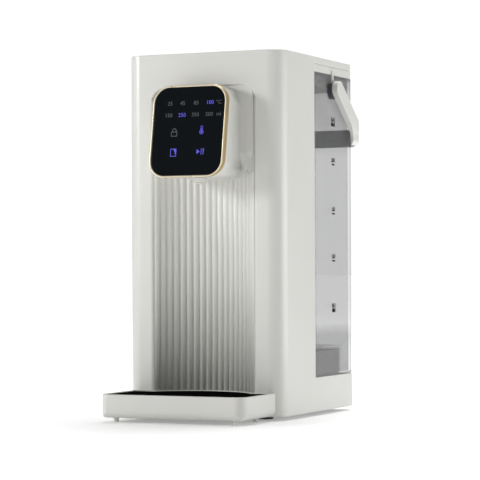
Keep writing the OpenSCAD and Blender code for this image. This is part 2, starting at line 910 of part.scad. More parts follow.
// side figure of the bail at rest, in y and z from the pivot
module bail_side() {
  n = [rest_s, rest_c];
  u = [rest_c, -rest_s];
  low = arm_up - arm_w;
  y1 = bar_y - pivot_y;
  y2 = y1 + bar_t;
  z0 = arm_edge(y1, arm_up) - bar_h;
  translate(n * (arm_up - arm_w / 2) - u * hub_out) circle(arm_w / 2);
  polygon([
    n * arm_up - u * hub_out,
    [y2, arm_edge(y2, arm_up)],
    [y2 - bar_t * 0.2, z0 + bar_h * 0.47],
    [y2 - bar_t * 0.52, z0 + bar_h * 0.18],
    [y1 + bar_t * 0.15, z0],
    [y1 - 9, z0],
    [y1 - 11.2, z0 + bar_h * 0.2],
    [y1 - 12.6, arm_edge(y1 - 12.6, low)],
    n * low - u * hub_out
  ]);
}

// plan of the bail at rest, in x and y from the pivot
module bail_plan() {
  y1 = bar_y - pivot_y;
  r = bail_r;
  difference() {
    union() {
      translate([-bail_half, -20]) square([2 * bail_half, 20 + y1 + bar_t - r]);
      translate([-bail_half + r, -20]) square([2 * (bail_half - r), 20 + y1 + bar_t]);
      for (s = [-1, 1]) {
        translate([s * (bail_half - r), y1 + bar_t - r]) circle(r);
      }
    }
    translate([-arm_x, -21]) square([2 * arm_x, 21 + y1]);
  }
}

// rear figure of the bail at rest, in x and z from the pivot
module bail_rear() {
  w = bail_half - bail_taper;
  r = bail_low_r;
  z0 = arm_edge(bar_y - pivot_y, arm_up) - bar_h;
  a = arm_x - 3;
  z1 = z0 + bar_h - bar_dip;
  difference() {
    union() {
      polygon([
        [-bail_half, 100], [-bail_half, z0 + bar_h * 0.9], [-w, z0 + bar_h * 0.62], [-w, z0 + r],
        [w, z0 + r], [w, z0 + bar_h * 0.62], [bail_half, z0 + bar_h * 0.9], [bail_half, 100]
      ]);
      translate([-w + r, z0]) square([2 * (w - r), 2 * r]);
      for (s = [-1, 1]) {
        translate([s * (w - r), z0 + r]) circle(r);
      }
    }
    translate([-a + 4, z1]) square([2 * (a - 4), 101]);
    translate([-a, z1 + 4]) square([2 * a, 101]);
    for (s = [-1, 1]) {
      translate([s * (a - 4), z1 + 4]) circle(4);
    }
  }
}

// white carrying handle with its trunnions
module bail_handle() {
  color("white") place() translate([0, pivot_y, pivot_z]) {
    difference() {
      intersection() {
        translate([0, 0, -100]) linear_extrude(200) bail_plan();
        rotate([90, 0, 90]) translate([0, 0, -100]) linear_extrude(200) bail_side();
        along_y(-100, 100) bail_rear();
      }
      rotate([0, 90, 0]) cylinder(r = lid_swing, h = 2 * arm_x, center = true);
    }
    for (s = [-1, 1]) {
      translate([s * (arm_x + 1), 0, 0]) rotate([0, -s * 90, 0]) cylinder(r = trunnion_r, h = arm_gap + 1 + bush_seat - gap);
    }
  }
}

// dark bushes in the tank's sides that carry the trunnions
module bail_bushes() {
  color("dimgray") place() for (s = [-1, 1]) {
    translate([s * (arm_x - gap), pivot_y, pivot_z]) rotate([0, -s * 90, 0]) difference() {
      cylinder(r = bush_r, h = arm_gap - gap + bush_seat);
      translate([0, 0, -1]) cylinder(r = trunnion_r + run, h = 20);
    }
  }
}

// valve seat in the tank's floor
module valve_body() {
  color("gray") place() translate([0, sock_y, 0]) difference() {
    union() {
      translate([0, 0, valve_low]) cylinder(r = valve_r, h = well_top - valve_low);
      translate([0, 0, well_top]) cylinder(r = 13, h = 2);
    }
    translate([0, 0, valve_low - 1]) cylinder(r = 4.4, h = 40);
    translate([0, 0, seat_z]) cylinder(r = 7.3, h = 40);
  }
}

// slotted cage over the valve that strains the water and holds the spring
module valve_cage() {
  color("gray") place() translate([0, sock_y, well_top + 2]) difference() {
    cylinder(r = 11, h = cage_top - well_top - 2);
    translate([0, 0, -1]) cylinder(r = 9.4, h = cage_top - well_top - 3);
    translate([0, 0, -1]) cylinder(r = 1.95, h = 60);
    for (a = [0 : 30 : 330]) {
      rotate([0, 0, a]) translate([8, -0.7, 3]) cube([5, 1.4, cage_top - well_top - 11]);
    }
  }
}

// poppet with its stem
module valve_plunger() {
  color("white") place() translate([0, sock_y, 0]) {
    translate([0, 0, poppet_z]) cylinder(r = 6.2, h = poppet_h);
    translate([0, 0, poppet_z - 10]) cylinder(r = 1.8, h = 10);
    translate([0, 0, poppet_z + poppet_h]) cylinder(r = 1.8, h = cage_top - poppet_z - poppet_h);
  }
}

// soft ring round the poppet
module valve_seal() {
  color("dimgray") place() translate([0, sock_y, poppet_z + 0.3]) difference() {
    cylinder(r = 6.95, h = 1.6);
    translate([0, 0, -1]) cylinder(r = 6.25, h = 4);
  }
}

// middle of the spring's wire at step i of n
function wire_mid(i, n) =
  let (a = 360 * spring_turns * i / n)
  [spring_r * cos(a), spring_r * sin(a), 0.6 + (spring_z1 - spring_z0 - 1.2) * i / n];

// one ring of the spring's wire at step i of n
function wire_ring(i, n, sides) =
  let (a = 360 * spring_turns * i / n, m = wire_mid(i, n))
  [for (k = [0 : sides - 1]) let (b = 360 * k / sides)
    m + wire_r * [cos(b) * cos(a), cos(b) * sin(a), sin(b)]];

// coil that closes the valve
module valve_spring() {
  sides = 6;
  n = spring_turns * spring_steps;
  apart = [for (i = [0 : n - spring_steps], j = [i + spring_steps - 3 : min(i + spring_steps + 3, n)])
    norm(wire_mid(i, n) - wire_mid(j, n))];
  echo(str("valve spring: least gap between turns ", min(apart) - 2 * wire_r, " mm"));
  pts = [for (i = [0 : n]) each wire_ring(i, n, sides)];
  walls = [for (i = [0 : n - 1], k = [0 : sides - 1]) let (j = (k + 1) % sides)
    [i * sides + k, (i + 1) * sides + k, (i + 1) * sides + j, i * sides + j]];
  ends = [[for (k = [0 : sides - 1]) k], [for (k = [0 : sides - 1]) n * sides + sides - 1 - k]];
  color("silver") place() translate([0, sock_y, spring_z0])
    polyhedron(points = pts, faces = concat(walls, ends));
}

// plan of the tray's dish and tongue, drawn in by g
module tray_plan(g) {
  w = tray_w - 2 * g;
  r = tray_r - g;
  translate([-w / 2, -tray_out + tray_r]) square([w, tray_out - tray_r - gap - g]);
  translate([-w / 2 + r, -tray_out + g]) square([w - 2 * r, tray_r]);
  for (s = [-1, 1]) {
    translate([s * (w / 2 - r), -tray_out + tray_r]) circle(r);
  }
}

// plan of the tongue that reaches into the niche, drawn in by g
module tongue_plan(g) {
  intersection() {
    translate([0, niche_yc]) circle(tongue_R - g);
    translate([-niche_w / 2, -2 - 2 * g]) square([niche_w, niche_depth + 9]);
  }
}

// end figure of the tray with rounded lower edges, of width w above height z
module tray_section(w, z, r) {
  translate([-w / 2, z + r]) square([w, tray_h]);
  translate([-w / 2 + r, z]) square([w - 2 * r, tray_h]);
  for (s = [-1, 1]) {
    translate([s * (w / 2 - r), z + r]) circle(r);
  }
}

// outer figure of the dish with its rounded lower edge, drawn in by g
module dish(g, top) {
  r = tray_edge_r - g / 2;
  intersection() {
    translate([0, 0, tray_z0]) linear_extrude(top - tray_z0) tray_plan(g);
    along_y(-tray_out - 1, 1) tray_section(tray_w - 2 * g, tray_z0 + g, r);
    rotate([90, 0, 90]) translate([0, 0, -tray_w]) linear_extrude(2 * tray_w) {
      translate([-tray_out + g, tray_z0 + g + r]) square([tray_out, tray_h]);
      translate([-tray_out + g + r, tray_z0 + g]) square([tray_out, tray_h]);
      translate([-tray_out + g + r, tray_z0 + g + r]) circle(r);
    }
  }
}

// white drip tray
module drip_tray() {
  color("white") place() difference() {
    union() {
      dish(0, tray_h);
      translate([0, 0, tongue_z]) linear_extrude(tray_h - tongue_z) tongue_plan(0);
    }
    dish(tray_t + 1.4, grille_z + 0.1);
    translate([0, 0, tongue_z + tray_t]) linear_extrude(tray_h) tongue_plan(tray_t + 1.4);
    translate([0, 0, grille_z]) linear_extrude(tray_h) {
      tray_plan(tray_t);
      tongue_plan(tray_t);
    }
  }
}

// pegs under the tray
module tray_feet() {
  color("white") place() for (s = [-1, 1], y = [-tray_out + 9.5, -14]) {
    translate([s * (tray_w / 2 - 12), y, 0]) cylinder(r = 2.2, h = tray_z0);
  }
}

// plan of the grille
module grille_plan(g) {
  tray_plan(tray_t + g);
  tongue_plan(tray_t + g);
}

// black slotted grille
module drip_grille() {
  n = floor((tray_w / 2 - 16) / slot_pitch);
  color("black") place() difference() {
    translate([0, 0, grille_z]) linear_extrude(grille_t) grille_plan(0.35);
    for (i = [-n : n]) {
      x = i * slot_pitch;
      deep = abs(x) < 34 ? 8 : -10;
      translate([x - slot_w / 2, -tray_out + 13, grille_z - 1])
        cube([slot_w, tray_out - 13 + deep, grille_t + 2]);
    }
  }
}

front_casing();
niche_panel();
top_cover();
rear_panel();
rear_screws();
tank_deck();
base_plate();
rubber_feet();
base_screws();
cord_gland();
terminal_block();
head_housing();
trim_ring();
touch_glass();
light_mask();
display_board();
display_cable();
nozzle();
inlet_socket();
inlet_seal();
inlet_hose();
pump_housing();
pump_motor();
pump_strap();
pump_rotor();
pump_hose();
heater_tube();
heater_caps();
heater_clips();
thermal_cutout();
temperature_probe();
outlet_hose();
power_board();
board_standoffs();
tank_body();
tank_collar();
tank_lid();
lid_seal();
bail_handle();
bail_bushes();
valve_body();
valve_cage();
valve_plunger();
valve_seal();
valve_spring();
drip_tray();
tray_feet();
drip_grille();
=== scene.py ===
# %% [markdown]
# # An instant hot water dispenser, dressed for the camera
# The CAD model already says where every rigid piece is. What it cannot say is how a moulded edge catches the
# light, how a smoked tank dims what stands behind it, or how symbols glow through black glass. This lesson
# adds those, one step at a time, and changes no size.

import json
import math

import bmesh
import bpy
from mathutils import Matrix, Vector


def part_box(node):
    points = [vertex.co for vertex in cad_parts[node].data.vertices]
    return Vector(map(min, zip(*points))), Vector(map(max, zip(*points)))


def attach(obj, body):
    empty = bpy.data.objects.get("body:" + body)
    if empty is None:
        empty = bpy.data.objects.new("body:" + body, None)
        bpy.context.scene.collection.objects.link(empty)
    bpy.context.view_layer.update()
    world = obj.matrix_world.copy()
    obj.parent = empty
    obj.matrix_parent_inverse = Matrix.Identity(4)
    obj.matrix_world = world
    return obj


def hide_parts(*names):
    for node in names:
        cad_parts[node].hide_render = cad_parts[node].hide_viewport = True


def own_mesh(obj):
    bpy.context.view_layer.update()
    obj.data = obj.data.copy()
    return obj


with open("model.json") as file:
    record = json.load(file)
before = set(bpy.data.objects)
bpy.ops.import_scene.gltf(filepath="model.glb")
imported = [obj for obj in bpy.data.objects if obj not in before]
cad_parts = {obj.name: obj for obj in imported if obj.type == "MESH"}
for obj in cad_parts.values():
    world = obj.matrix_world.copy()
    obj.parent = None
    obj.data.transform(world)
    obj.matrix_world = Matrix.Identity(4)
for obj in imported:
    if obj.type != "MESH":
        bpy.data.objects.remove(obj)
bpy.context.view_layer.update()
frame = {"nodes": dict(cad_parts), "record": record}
scene = bpy.context.scene
mm = 0.001
carrier = {n: b for b, ns in frame["record"]["behaviour"]["bodies"].items() for n in ns}
slot_of = {s["node"]: s["material_slot"] for s in frame["record"]["subparts"]}

# %% [markdown]
# ## Where the camera stands
# The object was seen from a little to its right, with a long lens at the height of its niche. A long lens keeps
# upright edges upright, so the camera's three axes are written down as they were solved, and no shift is
# needed. Turning the camera by hand until it looks right would work too, but half a degree already shows.

# %% Camera
def link(name, data):
    """A new object in the scene."""
    obj = bpy.data.objects.new(name, data)
    scene.collection.objects.link(obj)
    return obj


def turned(right, up, out, place):
    """The matrix of a thing at a place whose own axes point right, up and out."""
    return Matrix([(right[i], up[i], out[i], place[i]) for i in range(3)] + [(0, 0, 0, 1)])


lens = bpy.data.cameras.new("camera")
lens.lens, lens.sensor_width, lens.clip_end = 156.5, 36.0, 60.0
camera = link("camera", lens)
camera_right = Vector((0.90979319, 0.41504182, -0.00407987))
camera_up = Vector((0.00891201, -0.00970641, 0.99991318))
camera_back = Vector((0.41496618, -0.90975056, -0.01252968))
stand = Vector((0.760823, -1.643451, 0.128835))
camera.matrix_world = turned(camera_right, camera_up, camera_back, stand)
scene.camera = camera
print("camera at", tuple(round(c, 3) for c in stand))

# %% [markdown]
# ## Light and floor
# A catalogue picture has a bright empty room, so the room is the world colour, brighter where it is looked at
# than where it lights. The key is a small soft box at the front left: the head casts its shadow to the right,
# into the niche. A wide panel beside it is mirrored faintly in the glossy front. Another soft box, behind the
# right side, lights that side and draws the long highlight on the round corner. A large one hangs high
# behind, so that the object's soft shadow falls forward on the floor. The floor glows a little by itself, more
# far away than near, and more for the eye than as a lamp: the ground stays white and the shadow stays pale.

# %% Room
white = (1, 1, 1, 1)
room_light, room_seen = 0.240, 1.06


def preset(node, **values):
    """Sets the fixed values of a node's sockets; an underscore stands for a space."""
    for socket, value in values.items():
        node.inputs[socket.replace("_", " ")].default_value = value


scene.view_settings.view_transform = "Standard"
world = bpy.data.worlds.new("studio")
scene.world = world
world.use_nodes = True
sky = world.node_tree
room = sky.nodes["Background"]
seen = sky.nodes.new("ShaderNodeBackground")
preset(room, Color=white, Strength=room_light)
preset(seen, Color=white, Strength=room_seen)
ray = sky.nodes.new("ShaderNodeLightPath")
pick = sky.nodes.new("ShaderNodeMixShader")
sky.links.new(ray.outputs["Is Camera Ray"], pick.inputs["Fac"])
sky.links.new(room.outputs["Background"], pick.inputs[1])
sky.links.new(seen.outputs["Background"], pick.inputs[2])
sky.links.new(pick.outputs["Shader"], sky.nodes["World Output"].inputs["Surface"])
print("room", room_light, "seen as", room_seen)

# %% Soft boxes
key_power, panel_power, side_power, top_power = 8.7, 1.0, 2.5, 38.0


def softbox(name, place, target, width, height, power):
    """A flat light of the given size, turned towards a point."""
    data = bpy.data.lights.new(name, "AREA")
    data.shape, data.size, data.size_y, data.energy = "RECTANGLE", width, height, power
    lamp = link(name, data)
    lamp.location = place
    lamp.rotation_euler = (Vector(target) - Vector(place)).to_track_quat("-Z", "Y").to_euler()


softbox("key", (-1.12, -1.00, 0.60), (0, -0.03, 0.2), 0.30, 0.30, key_power)
softbox("panel", (-0.66, -1.20, 0.16), (0, -0.05, 0.10), 0.9, 0.3, panel_power)
softbox("side", (0.86, 0.26, 0.15), (0, 0.02, 0.14), 0.72, 0.40, side_power)
softbox("top", (0.0, 0.80, 2.1), (0, 0, 0.1), 1.2, 1.2, top_power)

# %% Helpers for meshes and nodes
def as_mesh(bm, name):
    """What was drawn, as a plain mesh."""
    mesh = bpy.data.meshes.new(name)
    bm.to_mesh(mesh)
    bm.free()
    return mesh


def remap(tree, value, low, high, to_low, to_high):
    """Spreads low to high over to_low to to_high."""
    node = tree.nodes.new("ShaderNodeMapRange")
    preset(node, From_Min=low, From_Max=high, To_Min=to_low, To_Max=to_high)
    tree.links.new(value, node.inputs["Value"])
    return node.outputs["Result"]


def maths(tree, operation, *values):
    """One Math node; the values are sockets or numbers."""
    node = tree.nodes.new("ShaderNodeMath")
    node.operation = operation
    for socket, value in zip(node.inputs, values):
        if isinstance(value, (int, float)):
            socket.default_value = value
        else:
            tree.links.new(value, socket)
    return node.outputs[0]


print("mesh and node helpers ready")

# %% Floor
floor_radius, floor_drop = 25.0, 0.0004
near, far, near_glow, far_glow = 0.25, 0.9, 0.22, 0.92
lamp_share = 0.35
bm = bmesh.new()
bmesh.ops.create_circle(bm, cap_ends=True, radius=floor_radius, segments=96)
floor = link("floor", as_mesh(bm, "floor"))
floor.location.z = -floor_drop
pale = bpy.data.materials.new("pale_floor")
pale.use_nodes = True
ground = pale.node_tree
paint = ground.nodes["Principled BSDF"]
preset(paint, Base_Color=(0.93, 0.93, 0.93, 1), Roughness=0.8, Specular_IOR_Level=0.1, Emission_Color=white)
away = ground.nodes.new("ShaderNodeVectorMath")
away.operation = "LENGTH"
ground.links.new(ground.nodes.new("ShaderNodeTexCoord").outputs["Object"], away.inputs[0])
floor_glow = remap(ground, away.outputs["Value"], near, far, near_glow, far_glow)
looked_at = ground.nodes.new("ShaderNodeLightPath").outputs["Is Camera Ray"]
glow_share = remap(ground, looked_at, 0.0, 1.0, lamp_share, 1.0)
ground.links.new(maths(ground, "MULTIPLY", floor_glow, glow_share), paint.inputs["Emission Strength"])
floor.data.materials.append(pale)
print("floor radius", floor_radius)

# %% [markdown]
# ## Finishes
# Moulded plastic is never one flat colour. The mould's surface leaves a fine grain, the gloss changes slowly
# over a panel, and the tint drifts a little. One helper sets those three from noise on Object coordinates, in
# metres, so that the grain has one scale on every piece. Values that are the same all over go straight on the
# shader's own sockets. Painted pictures would do too, but they need unwrapped pieces and blur close by.

# %% Finish helpers
noise_low, noise_high = 0.3, 0.7
tint_scale, gloss_scale, grain_height = 14, 60, 0.0001


def cloud(tree, scale, detail=2.0, stretch=None):
    """Noise on the piece's own coordinates; stretch makes it run along an axis."""
    out = tree.nodes.new("ShaderNodeTexCoord").outputs["Object"]
    if stretch:
        turn = tree.nodes.new("ShaderNodeMapping")
        preset(turn, Scale=stretch)
        tree.links.new(out, turn.inputs["Vector"])
        out = turn.outputs["Vector"]
    noise = tree.nodes.new("ShaderNodeTexNoise")
    preset(noise, Scale=scale, Detail=detail)
    tree.links.new(out, noise.inputs["Vector"])
    return noise.outputs["Fac"]


def finish(name, tint, rough, grain=1600.0, depth=0.012, drift=0.02, spread=0.05, stretch=None, **fixed):
    """A surface with a fine grain, slow changes of gloss and a slight drift of tint."""
    mat = bpy.data.materials.new(name)
    mat.use_nodes = True
    tree = mat.node_tree
    shader = tree.nodes["Principled BSDF"]
    tones = tree.nodes.new("ShaderNodeValToRGB")
    for stop, at, k in zip(tones.color_ramp.elements, (noise_low, noise_high), (1 - drift, 1 + drift)):
        stop.position, stop.color = at, [min(c * k, 1.0) for c in tint] + [1]
    tree.links.new(cloud(tree, tint_scale, 3.0, stretch), tones.inputs["Fac"])
    tree.links.new(tones.outputs["Color"], shader.inputs["Base Color"])
    gloss = remap(tree, cloud(tree, gloss_scale, 3.0, stretch), noise_low, noise_high,
                  max(rough - spread, 0.02), rough + spread)
    tree.links.new(gloss, shader.inputs["Roughness"])
    bump = tree.nodes.new("ShaderNodeBump")
    preset(bump, Strength=depth * 10, Distance=grain_height)
    tree.links.new(cloud(tree, grain, 2.0, stretch), bump.inputs["Height"])
    tree.links.new(bump.outputs["Normal"], shader.inputs["Normal"])
    preset(shader, **fixed)
    return mat


def tone(r, g, b):
    """A colour as seen on a screen, 0 to 255, as linear light."""
    return [((c / 255 + 0.055) / 1.055) ** 2.4 if c > 10 else c / 255 / 12.92 for c in (r, g, b)]


print("finish helpers ready, tint drifts every", round(1 / tint_scale, 3), "m")

# %% The finishes of this object
finishes = {
    "white_plastic": finish("satin_white", tone(226, 226, 221), 0.30, depth=0.010, drift=0.006, spread=0.015,
                            Specular_IOR_Level=0.7),
    "dark_rubber": finish("dark_rubber", tone(46, 46, 47), 0.72, grain=900, depth=0.05, drift=0.1),
    "steel": finish("drawn_steel", tone(176, 178, 180), 0.3, grain=500, depth=0.02, stretch=(1, 1, 0.04),
                    Metallic=1.0),
    "grey_plastic": finish("grey_plastic", tone(150, 152, 154), 0.45, depth=0.02, drift=0.03),
    "silicone": finish("milky_silicone", tone(222, 222, 216), 0.4, grain=700, depth=0.015, drift=0.03),
    "dark_plastic": finish("dark_plastic", tone(72, 73, 75), 0.42, depth=0.02, drift=0.05),
    "gold_trim": finish("gold_anodised", tone(205, 182, 136), 0.34, grain=2600, depth=0.012, drift=0.03,
                        Metallic=1.0),
    "black_glass": finish("black_glass", tone(15, 19, 23), 0.1, depth=0.001, drift=0.05, spread=0.04,
                          Specular_IOR_Level=0.12),
    "board": finish("solder_mask", tone(28, 92, 52), 0.4, grain=700, depth=0.05, drift=0.12),
    "black_plastic": finish("deep_black", tone(20, 17, 18), 0.7, depth=0.02, drift=0.1, Specular_IOR_Level=0.0),
    "smoked_clear": finish("smoked_clear", tone(122, 123, 125), 0.12, grain=220, depth=0.004, Alpha=0.2),
}
for name, node in frame["nodes"].items():
    node.data.materials.clear()
    node.data.materials.append(finishes[slot_of[name]])
print("finishes", sorted(finishes))

# %% [markdown]
# ## Smoked wall of the tank
# A smoked wall looks darker where more of it lies in the line of sight: at the tank's floor and along the upright
# edges. A refracting material would show that by itself, but it is slow to render and grainy. So the wall is a
# plain see-through sheet, and how much it covers follows the height, with more at the edges. Painted shade is
# added the same way: the wall covers more over the plinth low down, more towards the top under the lid, and most
# in a band of painted shadow just under the collar.

# %% How much the wall covers
def along(tree, axis, stops):
    """A value that follows one Object coordinate; stops are (millimetres, value)."""
    split = tree.nodes.new("ShaderNodeSeparateXYZ")
    tree.links.new(tree.nodes.new("ShaderNodeTexCoord").outputs["Object"], split.inputs["Vector"])
    first, last = stops[0][0], stops[-1][0]
    steps = tree.nodes.new("ShaderNodeValToRGB")
    ramp = steps.color_ramp.elements
    for i, (place, value) in enumerate(stops):
        at = (place - first) / (last - first)
        stop = ramp[i] if i < 2 else ramp.new(at)
        stop.position, stop.color = at, (value, value, value, 1)
    tree.links.new(remap(tree, split.outputs[axis], first * mm, last * mm, 0.0, 1.0), steps.inputs["Fac"])
    return steps.outputs["Color"]


tank_lo, tank_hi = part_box("tank_body")
bottom, brim = tank_lo.z * 1000, tank_hi.z * 1000
front, rear, half_wide = tank_lo.y * 1000, tank_hi.y * 1000, tank_hi.x * 1000
smoke = finishes["smoked_clear"].node_tree
# Painted shade: denser over the plinth below 78 mm, rising above 225 mm towards the lid, and a band of painted
# shadow under the collar from 288 mm.
by_height = along(smoke, "Z", [(bottom, 0.62), (bottom + 3, 0.38), (66, 0.34), (78, 0.20), (225, 0.19),
                               (252, 0.27), (281, 0.30), (288, 0.38), (293, 0.40), (brim, 0.7)])
by_depth = along(smoke, "Y", [(front, 0.3), (front + 1.6, 0.3), (front + 2.4, 0.0), (rear - 2.4, 0.0),
                              (rear - 1.4, 0.2), (rear, 0.2)])
on_sides = along(smoke, "X", [(-half_wide, 1.0), (1.2 - half_wide, 1.0), (2.4 - half_wide, 0.0),
                              (half_wide - 2.4, 0.0), (half_wide - 1.2, 1.0), (half_wide, 1.0)])
smoke.links.new(maths(smoke, "MULTIPLY_ADD", by_depth, on_sides, by_height),
                smoke.nodes["Principled BSDF"].inputs["Alpha"])
print("tank wall from", round(bottom, 1), "to", round(brim, 1), "mm")

# %% [markdown]
# ## Soft edges
# Every edge of a moulding has a small radius, and that radius is what shines. The CAD solids have sharp edges.
# A copy of each visible solid is merged, because its triangles are loose, its flat faces are joined up again,
# and a Bevel modifier rounds the outer edges by the width that each one carries. Weighted normals then keep the
# flats flat. The bevel could also be painted as a normal trick in the material, but the outline and the seams
# would stay sharp.

# %% Handing pieces over
def settle(obj, body, slot, *nodes):
    """Hands a finished piece to its body and hides the CAD pieces it stands in for."""
    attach(obj, body)
    if nodes:
        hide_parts(*nodes)
    return obj


def evaluated(obj):
    """What the modifiers or the curve make of an object, as a plain mesh."""
    return bpy.data.meshes.new_from_object(obj.evaluated_get(bpy.context.evaluated_depsgraph_get()))


def flatten(obj):
    """Keeps the modifiers' result and drops the modifiers."""
    mesh = evaluated(obj)
    obj.modifiers.clear()
    obj.data = mesh
    return obj


print("bodies that carry pieces", sorted(set(carrier.values())))

# %% Soft edge helper
merge_reach, flat_angle, sharp_angle = 2e-6, math.radians(0.4), math.radians(28)


def soften(node, name, width, rule=None, steps=3):
    """A copy of a CAD solid with rounded outer edges; rule(middle) may give an edge its own width, or 0."""
    bm = bmesh.new()
    bm.from_mesh(frame["nodes"][node].data)
    bmesh.ops.remove_doubles(bm, verts=bm.verts, dist=merge_reach)
    bmesh.ops.dissolve_limit(bm, angle_limit=flat_angle, verts=bm.verts, edges=bm.edges)
    share = bm.edges.layers.float.new("bevel_weight_edge")
    wanted = {}
    for e in bm.edges:
        if len(e.link_faces) == 2 and e.calc_face_angle_signed(0) > sharp_angle:
            own = rule((e.verts[0].co + e.verts[1].co) / 2) if rule else None
            wanted[e] = width if own is None else own
    widest = max([width, *wanted.values()])
    for e, w in wanted.items():
        e[share] = w / widest
    for f in bm.faces:
        f.smooth = True
    obj = link(name, as_mesh(bm, name))
    bevel = obj.modifiers.new("edge", "BEVEL")
    bevel.limit_method, bevel.width, bevel.segments = "WEIGHT", widest, steps
    bevel.offset_type, bevel.use_clamp_overlap = "OFFSET", False
    bevel.miter_outer = "MITER_ARC"
    obj.modifiers.new("flats", "WEIGHTED_NORMAL").keep_sharp = False
    flatten(obj)
    obj.data.materials.clear()
    obj.data.materials.append(finishes[slot_of[node]])
    print(name, "edges", len(wanted), "faces", len(obj.data.polygons))
    return settle(obj, carrier[node], slot_of[node], node)


print("edges sharper than", round(math.degrees(sharp_angle)), "degrees are rounded")

# %% [markdown]
# ## Casing, cover and head
# The front moulding has a crisp outline, but the rim of its niche is rolled over much more softly, so its edges
# there get a wider bevel. The cover and the casing meet in a seam: two small bevels side by side make the fine
# dark line. Edges that no one sees stay sharp, because a bevel in a tight place folds over itself.

# %% Casing and cover
niche_lo, niche_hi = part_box("niche_panel")
front_y, seam_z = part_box("front_casing")[0].y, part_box("front_casing")[1].z
niche_half, niche_from, niche_to = 0.0485, 0.009, 0.2845
rim_width, rim_fall, fall_from, fall_over = 0.0019, 0.0011, 0.268, 0.013
hidden_width, seam_width, cover_width = 0.00006, 0.00012, 0.0009
deck_from, deck_to = 0.0315, 0.0335
flush, below_seam, above_seam = 0.0002, 0.0004, 0.0012


def casing_edge(p):
    """Edges of the niche in the front face get a rolled rim; hidden edges and the seam stay tight."""
    if abs(p.x) < niche_half and niche_from < p.z < niche_to:
        if abs(p.y - front_y) > flush:
            return hidden_width
        return rim_width - rim_fall * min(max((p.z - fall_from) / fall_over, 0.0), 1.0)
    if deck_from < p.z < deck_to:
        return 0.0
    return seam_width if p.z > seam_z - below_seam else None


def cover_edge(p):
    """The cover's upper edge is round, the one at the seam tight."""
    return seam_width if p.z < seam_z + above_seam else cover_width


soften("front_casing", "casing_moulding", 0.0005, casing_edge, 4)
soften("top_cover", "column_cover", 0.0006, cover_edge)
soften("niche_panel", "niche_wall", hidden_width)

# %% Head
head_in_wall = front_y + 0.0125


def head_edge(p):
    """The head's far end is hidden in the wall."""
    return 0.0 if p.y > head_in_wall else None


soften("head_housing", "head_shell", 0.0006, head_edge)
ring = soften("trim_ring", "gold_ring", 0.0005)
# Painted highlight: the ring's faces that face out with the glass get a paler gold in place of the bright light
# caught on its lip; the rest stays darker gold.
lip_highlight = finish("gold_lip_highlight", tone(242, 229, 199), 0.30, grain=2600, depth=0.01, Metallic=0.7)
ring.data.materials.append(lip_highlight)
lip_out = max(ring.data.polygons, key=lambda f: -f.normal.y * f.area).normal.copy()
for f in ring.data.polygons:
    f.material_index = 1 if f.normal.dot(lip_out) > 0.6 else 0
soften("touch_glass", "face_glass", 0.0004)
soften("nozzle", "spout", 0.0004)

# %% Back and underside
for node, name, width in (("rear_panel", "column_back", 0.0004), ("tank_deck", "deck_and_plinth", 0.0003),
                          ("base_plate", "underside", 0.0004), ("rubber_feet", "soft_feet", 0.0006),
                          ("cord_gland", "lead_bush", 0.0005)):
    soften(node, name, width)

# %% [markdown]
# ## Tank, handle and tray
# The tank and its lid have fuller edges than the casing, and the tray is rounded below like a dish. The handle is
# one bent bar that rests against the tank's back. The same helper serves them all: only the widths differ, and a
# rule says where an edge keeps its own. A Subdivision Surface would round them too, but it would shrink them.

# %% Tank and handle
handle_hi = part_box("bail_handle")[1]
dip_half, dip_deep, dip_above = 0.0745, 0.0062, 0.2495


def grip_edge(p):
    """The handle is rounded all over, except round the dip of its grip, where a narrow facet stays flat."""
    in_dip = abs(p.x) < dip_half and p.y > handle_hi.y - dip_deep and p.z > dip_above
    return 0.0 if in_dip else None


soften("tank_body", "smoked_tank", 0.0009)
soften("tank_collar", "tank_rim", 0.0006)
soften("tank_lid", "lid_moulding", 0.0009)
soften("bail_handle", "carry_handle", 0.0005, grip_edge, 4)
soften("bail_bushes", "pivot_bushes", 0.0003)

# %% Tray
tray_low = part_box("drip_tray")[0]
dish_width, off_column, front_part, side_part, low_part = 0.0030, 0.004, 0.024, 0.0004, 0.0003


def tray_edge(p):
    """The tray's lower outer edge is rounded like a dish, but not where it meets the column."""
    outer = p.y < tray_low.y + front_part or abs(p.x) > -tray_low.x - side_part
    low = p.z < tray_low.z + low_part and p.y < front_y - off_column
    return dish_width if outer and low else None


soften("drip_tray", "tray_moulding", 0.0008, tray_edge, 5)
soften("tray_feet", "tray_pads", 0.0004)
soften("drip_grille", "tray_grille", 0.0003)

# %% [markdown]
# ## Spring of the tank's valve
# The plunger rises 4 mm when the tank is set down, and the spring above it is pressed together. Its upper end
# stays with the tank and its lower end follows the plunger. Here the spring is copied with no rounded edges and
# given a mesh of its own, on the body that carries it.

# %% Valve spring
spring = soften("valve_spring", "valve_coil", 0.0001, lambda p: 0.0)
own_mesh(spring)

# %% [markdown]
# ## Root of the head
# The head does not stand on the niche wall with a sharp crease: the moulding flows from its side into the wall
# and closes the slit above it. A bevel cannot round an inner corner between two pieces, so the flow is a piece of
# its own: a quarter of an ellipse is carried round the head's outline, wide at the sides, narrow at the bottom,
# where the reeds begin.

# %% Outline of the head
head_lo, head_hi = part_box("head_housing")
head_corner, outline_step = 14.0, 3.0
arc_points, arc_step = 13, 7.5


def head_outline():
    """Points and outward directions round the head, in millimetres."""
    r, w, low, high = head_corner, head_hi.x * 1000, head_lo.z * 1000, head_hi.z * 1000
    corners = ((w - r, low + r, -90), (w - r, high - r, 0), (r - w, high - r, 90), (r - w, low + r, 180))
    path = []
    for cx, cz, start in corners:
        for i in range(arc_points):
            a = math.radians(start + arc_step * i)
            path.append((cx + r * math.cos(a), cz + r * math.sin(a), math.cos(a), math.sin(a)))
    full = []
    for p, q in zip(path, path[1:] + path[:1]):
        parts = max(1, round(math.hypot(q[0] - p[0], q[1] - p[1]) / outline_step))
        full += [tuple(u + (v - u) * k / parts for u, v in zip(p, q)) for k in range(parts)]
    return full


print("head outline", len(head_outline()), "points")

